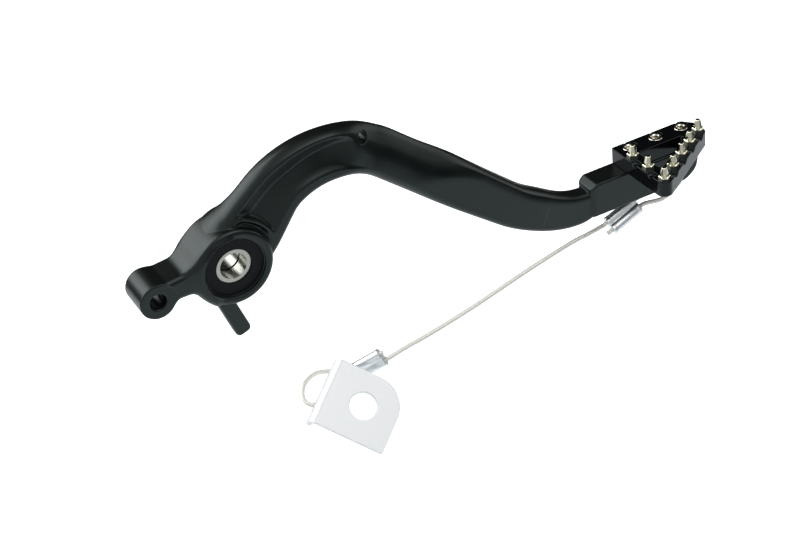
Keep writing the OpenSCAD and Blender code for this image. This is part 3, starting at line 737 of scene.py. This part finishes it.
def stud_surface(around=72):
    """Screw-in stud of two parameters, height and angle: each ring's radius blends from a
    circle to a hexagon by its share of flat, radius / cos(angle to the nearest flat's
    middle), so the collar is a true hexagon and the point is lightly fluted."""
    height, flat, share = STUD_RINGS.T[:, :, None]
    a = np.linspace(0, 2 * np.pi, around, endpoint=False)[None, :]
    to_flat = (a + np.pi / 6) % (np.pi / 3) - np.pi / 6
    r = flat * (1 + share * (1 / np.cos(to_flat) - 1))
    points = np.stack([r * np.cos(a), r * np.sin(a), height + 0 * a], -1).reshape(-1, 3)
    faces = [tuple(f) for f in grid_faces(len(STUD_RINGS), around)[:, ::-1].tolist()]
    top = (len(STUD_RINGS) - 1) * around
    return points, faces + [tuple(range(around))[::-1], tuple(range(top, top + around))]


# ---------------------------------------------------------------- cable, sleeves, bracket

SLEEVE_PITCH, SLEEVE_HALF, BARREL_R = 3.6, 7.0, 2.1
FRONT_SLEEVE = (turned(-50, -22, 0), np.array([161.8, -3, -46.5]))
REAR_SLEEVE = (turned(0, -31, -32), np.array([49.5, 5, -73.3]))
BRACKET = (turned(33, 28, -42), np.array([40.0, -7.5, -80.3]))


def in_front(x, s):
    """Point x along the front sleeve's own axis, on the barrel of side s."""
    return FRONT_SLEEVE[0] @ np.array([x, 0, -s * SLEEVE_PITCH / 2]) + FRONT_SLEEVE[1]


def in_rear(x, s):
    """Point x along the rear sleeve's own axis, on the barrel of side s."""
    return REAR_SLEEVE[0] @ np.array([x, 0, -s * SLEEVE_PITCH / 2]) + REAR_SLEEVE[1]


def at_ear(x, y, z):
    """Point in the bracket's own frame."""
    return BRACKET[0] @ np.array([x, y, z]) + BRACKET[1]


ROUTE = np.array([
    in_front(-9.5, 1), in_front(-2, 1), in_front(5.5, 1), in_front(9, 1),
    [176, -8.8, -41.8], [180.5, -9.9, -38.6], [184.2, -9.6, -36],
    [185.3, -7, -35.3], [185.3, -1.6, -35.3], [185.3, 3.8, -35.3],
    [184.2, 6.5, -36], [180.5, 7, -38.6], [176, 4.6, -41.7],
    in_front(9, -1), in_front(7, -1), in_front(0, -1), in_front(-7, -1), in_front(-9, -1),
    [145.5, -2.2, -49.4], [137.5, -2, -50.5], [118, -1.5, -55.2], [94, -1, -61.8],
    [74, -0.5, -66.4], [64, 0, -68.3],
    in_rear(9, 1), in_rear(7, 1), in_rear(0, 1), in_rear(-7, 1), in_rear(-9, 1),
    at_ear(-11.6, 2, -9.2), at_ear(-13.4, -3.8, -8), at_ear(-16, -5.5, -7.6),
    at_ear(-19.2, -6.3, -7.6), at_ear(-22, -4, -8.4), at_ear(-23, 1, -10),
    at_ear(-21, 6.4, -12.2), at_ear(-17, 10, -14), at_ear(-13.2, 12.2, -13),
    in_rear(-9, -1), in_rear(-7, -1), in_rear(0, -1), in_rear(7, -1), in_rear(8.2, -1)])


def smooth_route(points, step):
    """Even points along the smooth curve through points: a cubic between each pair whose
    slope at a point is half the way from the one before it to the one after."""
    p = np.concatenate([points[:1], points, points[-1:]])
    t = np.linspace(0, 1, 40, endpoint=False)[:, None]
    a, b, c, d = p[:-3, None], p[1:-2, None], p[2:-1, None], p[3:, None]
    fine = (b + (c - a) * t / 2 + (a * 2 - b * 5 + c * 4 - d) * t ** 2 / 2
            + (b * 3 - a - c * 3 + d) * t ** 3 / 2)
    fine = np.concatenate([fine.reshape(-1, 3), points[-1:]])
    run = np.concatenate([[0], np.cumsum(np.linalg.norm(np.diff(fine, axis=0), axis=1))])
    even = np.linspace(0, run[-1], int(run[-1] / step) + 1)
    return np.stack([np.interp(even, run, fine[:, k]) for k in range(3)], 1), run[-1]


def untwisted_frames(path):
    """Directions along a path and two across it, carried from ring to ring without twist."""
    d = np.gradient(path, axis=0)
    d /= np.linalg.norm(d, axis=1)[:, None]
    n = np.zeros_like(d)
    n[0] = unit(np.cross(d[0], [0.2, 0.3, 1]))
    for i in range(1, len(d)):
        n[i] = unit(n[i - 1] - d[i] * (n[i - 1] @ d[i]))
    return d, n, np.cross(d, n)


def rope_surface(path, radius, strands, lay, around=35):
    """Rope skin of two parameters, run s and angle a: the radius is that of a strand's round
    back, highest where strands * (a - turn of the lay at s) is a whole turn."""
    d, n, b = untwisted_frames(path)
    run = np.concatenate([[0], np.cumsum(np.linalg.norm(np.diff(path, axis=0), axis=1))])[:, None]
    a = np.linspace(0, 2 * np.pi, around, endpoint=False)[None, :]
    lobe = np.abs(np.sin(strands * (a - 2 * np.pi * run / lay) / 2))
    r = (radius * (0.94 + 0.06 * np.sqrt(lobe)))[..., None]
    ring = n[:, None] * np.cos(a)[..., None] + b[:, None] * np.sin(a)[..., None]
    points = np.concatenate([(path[:, None] + ring * r).reshape(-1, 3), path[[0, -1]]])
    faces = [tuple(f) for f in grid_faces(len(path), around)[:, ::-1].tolist()]
    last = (len(path) - 1) * around
    for end, rim in enumerate((np.arange(around), last + np.arange(around)[::-1])):
        centre = np.full(around, len(path) * around + end)
        faces += [tuple(f) for f in np.stack([rim, np.roll(rim, -1), centre], 1).tolist()]
    uv = np.stack(np.broadcast_arrays(a / (2 * np.pi), run / 1000), -1).reshape(-1, 2)
    return points, faces, np.concatenate([uv, [[0, 0], [0, run[-1, 0] / 1000]]])


def sleeve_field(x, y, z):
    """Distance outside a crimped sleeve along X: two round barrels side by side and the
    neck between them, pressed a little flat in the middle, less the two cable holes."""
    half = SLEEVE_PITCH / 2
    press = 0.12 * (1 - np.clip((np.abs(x) - 5.2) / 0.8, 0, 1))
    nearest = np.minimum(np.hypot(y, z - half), np.hypot(y, z + half))
    neck = np.maximum(np.abs(y) - 1.6 + press, np.abs(z) - half)
    shape = meet(join(nearest - BARREL_R + press, neck, 0.5), np.abs(x) - SLEEVE_HALF, 0.25)
    return cut(shape, nearest - 0.92, 0.1)


# half the plate's side, thickness of the sheet, inner radius of its fold, bolt hole, cable hole
BRACKET_HALF, SHEET, FOLD_R, BOLT_R, CABLE_R = 13.0, 2.0, 1.5, 5.25, 2.5
BRACKET_PLATE = rounded([(-20.0, -13.8, 0), (13.8, -13.8, 1.2), (13.8, 13, 12.35), (-20.0, 13, 0)])


def bracket_field(x, y, z):
    """Distance outside the folded bracket: a flat plate with a bolt hole, its fold round
    the bend radius, and the ear that hangs from the fold with a cable hole."""
    e, t, r = BRACKET_HALF, SHEET, FOLD_R
    plate = np.maximum(outline_distance(x, y, BRACKET_PLATE), -e - x)
    flat = np.maximum(np.abs(z + t / 2) - t / 2, plate)
    wide = np.abs(y + 0.4) - (e + 0.4)
    ax, az = x + e, z + t + r
    fold = np.maximum(np.abs(np.hypot(ax, az) - r - t / 2) - t / 2, np.maximum(ax, -az))
    tongue = meet(-8 - az, wide, 4.0)
    ear = np.maximum(np.abs(x + e + r + t / 2) - t / 2, np.maximum(az, tongue))
    strip = np.minimum(np.minimum(flat, fold), ear)
    body = meet(strip, wide, 0.3)
    body = cut(body, np.hypot(x, y) - BOLT_R, 0.25)
    ear_hole = np.maximum(np.hypot(y + 5.5, z + 7.6) - CABLE_R, x + 11)
    return cut(body, ear_hole, 0.2)


# ---------------------------------------------------------------- studio

CAMERA_AT = Vector((-0.16630, -0.48810, 0.34058))
CAMERA_RIGHT = Vector((0.86845847, -0.486161, -0.09709465))
CAMERA_UP = Vector((0.34806317, 0.45845251, 0.81772448))
AIM = Vector((0.08, 0, -0.03))
FLOOR_X = 0.08
# what the room's dark side sends into metal
ROOM_DARK = 0.02
# name, direction from the pedal, distance, size and power of each softbox
LAMPS = [("softbox_above_left_behind", (-0.64, 0.5, 0.58), 0.95, (1.0, 0.8), 8.6),
         ("panel_overhead_front", (0.2, -0.4, 0.9), 0.9, (0.9, 0.5), 2.6),
         ("strip_right", (0.96, 0.0, 0.26), 0.8, (0.5, 0.36), 0.7)]


def place_camera(values):
    """Puts the camera where the photograph was taken from, and sets the plain view."""
    cam = link("camera", bpy.data.cameras.new("camera"))
    axes = Matrix((CAMERA_RIGHT, CAMERA_UP, CAMERA_RIGHT.cross(CAMERA_UP))).transposed()
    cam.matrix_world = Matrix.Translation(CAMERA_AT) @ axes.to_4x4()
    cam.data.lens, cam.data.sensor_width = values.lens, 36.0
    cam.data.clip_start, cam.data.clip_end = 0.01, 50.0
    bpy.context.scene.camera = cam
    bpy.context.scene.view_settings.view_transform = "Standard"


def ray_kinds(tree):
    """Two values: 1 where the camera sees a thing itself or through a clear one, and 1
    where it sees the thing mirrored."""
    seen = add(tree, "ShaderNodeLightPath")
    direct = add(tree, "ShaderNodeMath", {"operation": "MAXIMUM"},
                 {0: seen.outputs["Is Camera Ray"], 1: seen.outputs["Is Transmission Ray"]})
    return direct.outputs[0], seen.outputs["Is Glossy Ray"]


def lay_floor(values):
    """A pale floor that takes the shadow, and glows up to white where the camera sees it."""
    half = values.floor_half
    mesh = bpy.data.meshes.new("floor")
    corners = [(FLOOR_X + half * i, half * j, values.floor_z)
               for i, j in ((-1, -1), (1, -1), (1, 1), (-1, 1))]
    mesh.from_pydata(corners, [], [(0, 1, 2, 3)])
    floor = link("floor", mesh)
    material, tree = new_material("painted_studio_floor")
    direct, glossy = ray_kinds(tree)
    mirror = add(tree, "ShaderNodeMath", {"operation": "MULTIPLY", 1: values.floor_in_metal},
                 {0: glossy})
    level = add(tree, "ShaderNodeMath", {"operation": "MULTIPLY_ADD", 1: values.floor_glow},
                {0: direct, 2: mirror.outputs[0]})
    paint = add(tree, "ShaderNodeBsdfDiffuse", {"Color": linear(values.floor_colour)})
    glow = add(tree, "ShaderNodeEmission", {"Color": (1, 1, 1, 1)}, {"Strength": level.outputs[0]})
    both = add(tree, "ShaderNodeAddShader", links={0: paint.outputs[0], 1: glow.outputs[0]})
    finish_material(tree, both)
    mesh.materials.append(material)


def smooth_step(tree, low, high, source):
    """A value that eases from 0 to 1 as its source goes from low to high."""
    return add(tree, "ShaderNodeMapRange", {"interpolation_type": "SMOOTHSTEP", "From Min": low,
                                            "From Max": high}, {"Value": source}).outputs["Result"]


def fill_air(values):
    """Plain light from all round, white where the camera sees it. Metal and gloss mirror a
    room that is pale at the front and dark behind the pedal and low at the right."""
    world = bpy.data.worlds.new("studio_air")
    bpy.context.scene.world = world
    world.use_nodes = True
    tree = world.node_tree
    tree.nodes.clear()
    direct, glossy = ray_kinds(tree)
    way = add(tree, "ShaderNodeTexCoord").outputs["Generated"]
    right, behind = [add(tree, "ShaderNodeVectorMath", {"operation": "DOT_PRODUCT", 1: towards},
                         {0: way}).outputs["Value"]
                     for towards in ((0.74, -0.66, 0.0), (0.43, 0.9, 0.0))]
    height = add(tree, "ShaderNodeSeparateXYZ", links={0: way}).outputs["Z"]
    low_right = add(tree, "ShaderNodeMath", {"operation": "MULTIPLY"},
                    {0: smooth_step(tree, 0.6, 0.86, right), 1: smooth_step(tree, 0.34, 0.14, height)})
    dark = add(tree, "ShaderNodeMath", {"operation": "MAXIMUM"},
               {0: low_right.outputs[0], 1: smooth_step(tree, -0.1, 0.55, behind)})
    room = add(tree, "ShaderNodeMapRange", {"To Min": values.air_in_metal - values.air,
                                            "To Max": ROOM_DARK - values.air},
               {"Value": dark.outputs[0]})
    mirror = add(tree, "ShaderNodeMath", {"operation": "MULTIPLY"},
                 {0: glossy, 1: room.outputs["Result"]})
    lit = add(tree, "ShaderNodeMath", {"operation": "ADD", 1: values.air}, {0: mirror.outputs[0]})
    level = add(tree, "ShaderNodeMath", {"operation": "MAXIMUM"}, {0: direct, 1: lit.outputs[0]})
    sky = add(tree, "ShaderNodeBackground", {"Color": (1, 1, 1, 1)}, {"Strength": level.outputs[0]})
    add(tree, "ShaderNodeOutputWorld", links={"Surface": sky.outputs[0]})


def hang_lamps():
    """Softboxes that face the pedal from their directions."""
    for name, towards, distance, size, power in LAMPS:
        lamp = bpy.data.lights.new(name, "AREA")
        lamp.shape, lamp.size, lamp.size_y, lamp.energy = "RECTANGLE", size[0], size[1], power
        obj = link(name, lamp)
        obj.location = AIM + Vector(towards).normalized() * distance
        obj.rotation_mode = "QUATERNION"
        obj.rotation_quaternion = Vector(towards).to_track_quat("Z", "Y")


# ---------------------------------------------------------------- operators

def settings(name):
    """This scene's values of one group of settings."""
    return getattr(bpy.context.scene, "pedal_" + name)


class PEDAL_OT_studio(bpy.types.Operator):
    """Camera at the photograph's angle, pale floor and soft lamps"""
    bl_idname = "pedal.studio"
    bl_label = "Studio"

    def execute(self, context):
        values = settings("studio")
        place_camera(values)
        lay_floor(values)
        fill_air(values)
        hang_lamps()
        return {"FINISHED"}


class PEDAL_OT_safety_cable(bpy.types.Operator):
    """Coated wire rope that loops through the toe end's eye and the bracket's ear"""
    bl_idname = "pedal.safety_cable"
    bl_label = "Safety cable"

    def execute(self, context):
        values = settings("safety_cable")
        path, length = smooth_route(ROUTE, 0.33)
        points, faces, uv = rope_surface(path, values.diameter / 2 - 0.01, values.strands,
                                         values.lay_length)
        material = coated_rope("stainless_rope_nylon_coat", "#f0f1ec", "#dcdbcc", values.strands)
        rope = make_piece("cable_rope", points, faces, material, ["safety_cable"], uv=uv)
        silver = bare_metal("drawn_aluminium", "#e2e6e8", 0.34, 0.3, 0, 0.12)
        white = tumbled_sheet("tumbled_aluminium_sheet", "#e8eaeb")
        ends = [make_skin(name, sleeve_field, (-7.4, -2.6, -4.4), (7.4, 2.6, 4.4), 0.16, silver,
                          [node], place)
                for name, node, place in (("sleeve_near_toe", "front_sleeve", FRONT_SLEEVE),
                                          ("sleeve_near_frame", "rear_sleeve", REAR_SLEEVE))]
        ends.append(make_skin("folded_bracket", bracket_field, (-17.2, -14.4, -12.2),
                              (14.4, 13.6, 0.6), 0.25, white,
                              ["frame_bracket"], BRACKET))
        return {"FINISHED"}


class PEDAL_OT_arm(bpy.types.Operator):
    """Forged arm with its boss, lug, stop tab and toe block"""
    bl_idname = "pedal.arm"
    bl_label = "Forged arm"

    def execute(self, context):
        values = settings("pedal_arm")
        black = anodised_black("forged_aluminium_black_anodised", values.colour, 0.31, 0.35, 0.010,
                               0.42)
        make_skin("forged_arm", arm_field, (-36.5, -9.6, -43), (198, 9.6, 38), values.step, black,
                  ["pedal_arm"])
        points, faces = boss_ring()
        make_piece("pivot_boss", points, faces, black)
        return {"FINISHED"}


class PEDAL_OT_pad(bpy.types.Operator):
    """Milled toe pad and its screw-in studs"""
    bl_idname = "pedal.pad"
    bl_label = "Toe pad"

    def execute(self, context):
        values = settings("toe_pad")
        black = anodised_black("milled_aluminium_gloss_black", values.colour, 0.14, 0.2, 0.004, 0.3)
        make_skin("milled_pad", pad_field, (160.9, -31.5, BLOCK_TOP - 0.6),
                  (199, 4.2, PAD_TOP + 0.6), values.step, black, ["toe_pad"])
        steel = bare_metal("nickel_plated_stud_steel", values.stud_colour, 0.1, 0.2, 2)
        points, faces = stud_surface()
        for i, (sx, sy) in enumerate(STUDS):
            stud = make_piece("stud_%d_point" % (i + 1), points + [sx, sy, PAD_TOP], faces, steel,
                              ["stud_%d" % (i + 1)])
            stud.data.set_sharp_from_angle(angle=math.radians(24))
        return {"FINISHED"}


class PEDAL_OT_hardware(bpy.types.Operator):
    """Finishes of the bearings and the pad's screws, which stay as the CAD has them"""
    bl_idname = "pedal.hardware"
    bl_label = "Hardware"

    def execute(self, context):
        ring = bare_metal("bearing_steel_ground", "#a9a9a2", 0.28, 0.15, 1)
        brass = bare_metal("stamped_brass", "#c9a25a", 0.3, 0.3, 1)
        rubber = moulded_rubber("nitrile_rubber", "#07080c")
        screw = bare_metal("nickel_plated_steel", "#d4d1c6", 0.16, 0.2, 2)
        finishes = {"race": ring, "balls": ring, "cage": brass, "seal": rubber, "pad_screw": screw}
        for name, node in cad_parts.items():
            for word, material in finishes.items():
                if word in name:
                    node.data.materials.clear()
                    node.data.materials.append(material)
        return {"FINISHED"}


class PEDAL_PT_panel(bpy.types.Panel):
    """Buttons and values of the pedal's looks"""
    bl_label = "Brake pedal"
    bl_idname = "PEDAL_PT_panel"
    bl_space_type = "VIEW_3D"
    bl_region_type = "UI"
    bl_category = "Pedal"

    def draw(self, context):
        for operator in OPERATORS:
            self.layout.operator(operator.bl_idname)
        for name, group in SETTINGS.items():
            box = self.layout.box()
            box.label(text=name.replace("_", " "))
            for value in group.__annotations__:
                box.prop(getattr(context.scene, "pedal_" + name), value)


OPERATORS = [PEDAL_OT_studio, PEDAL_OT_safety_cable, PEDAL_OT_arm, PEDAL_OT_pad, PEDAL_OT_hardware]


def register():
    """Registers the settings, the operators and the panel."""
    for group in SETTINGS.values():
        bpy.utils.register_class(group)
    for name, group in SETTINGS.items():
        setattr(bpy.types.Scene, "pedal_" + name, bpy.props.PointerProperty(type=group))
    for operator in OPERATORS:
        bpy.utils.register_class(operator)
    bpy.utils.register_class(PEDAL_PT_panel)


def unregister():
    """Takes the panel, the operators and the settings away again."""
    bpy.utils.unregister_class(PEDAL_PT_panel)
    for operator in reversed(OPERATORS):
        bpy.utils.unregister_class(operator)
    for name, group in SETTINGS.items():
        delattr(bpy.types.Scene, "pedal_" + name)
        bpy.utils.unregister_class(group)


def main():
    """Builds every piece in order."""
    register()
    for operator in OPERATORS:
        group, name = operator.bl_idname.split(".")
        getattr(getattr(bpy.ops, group), name)()


if __name__ == "__main__":
    main()
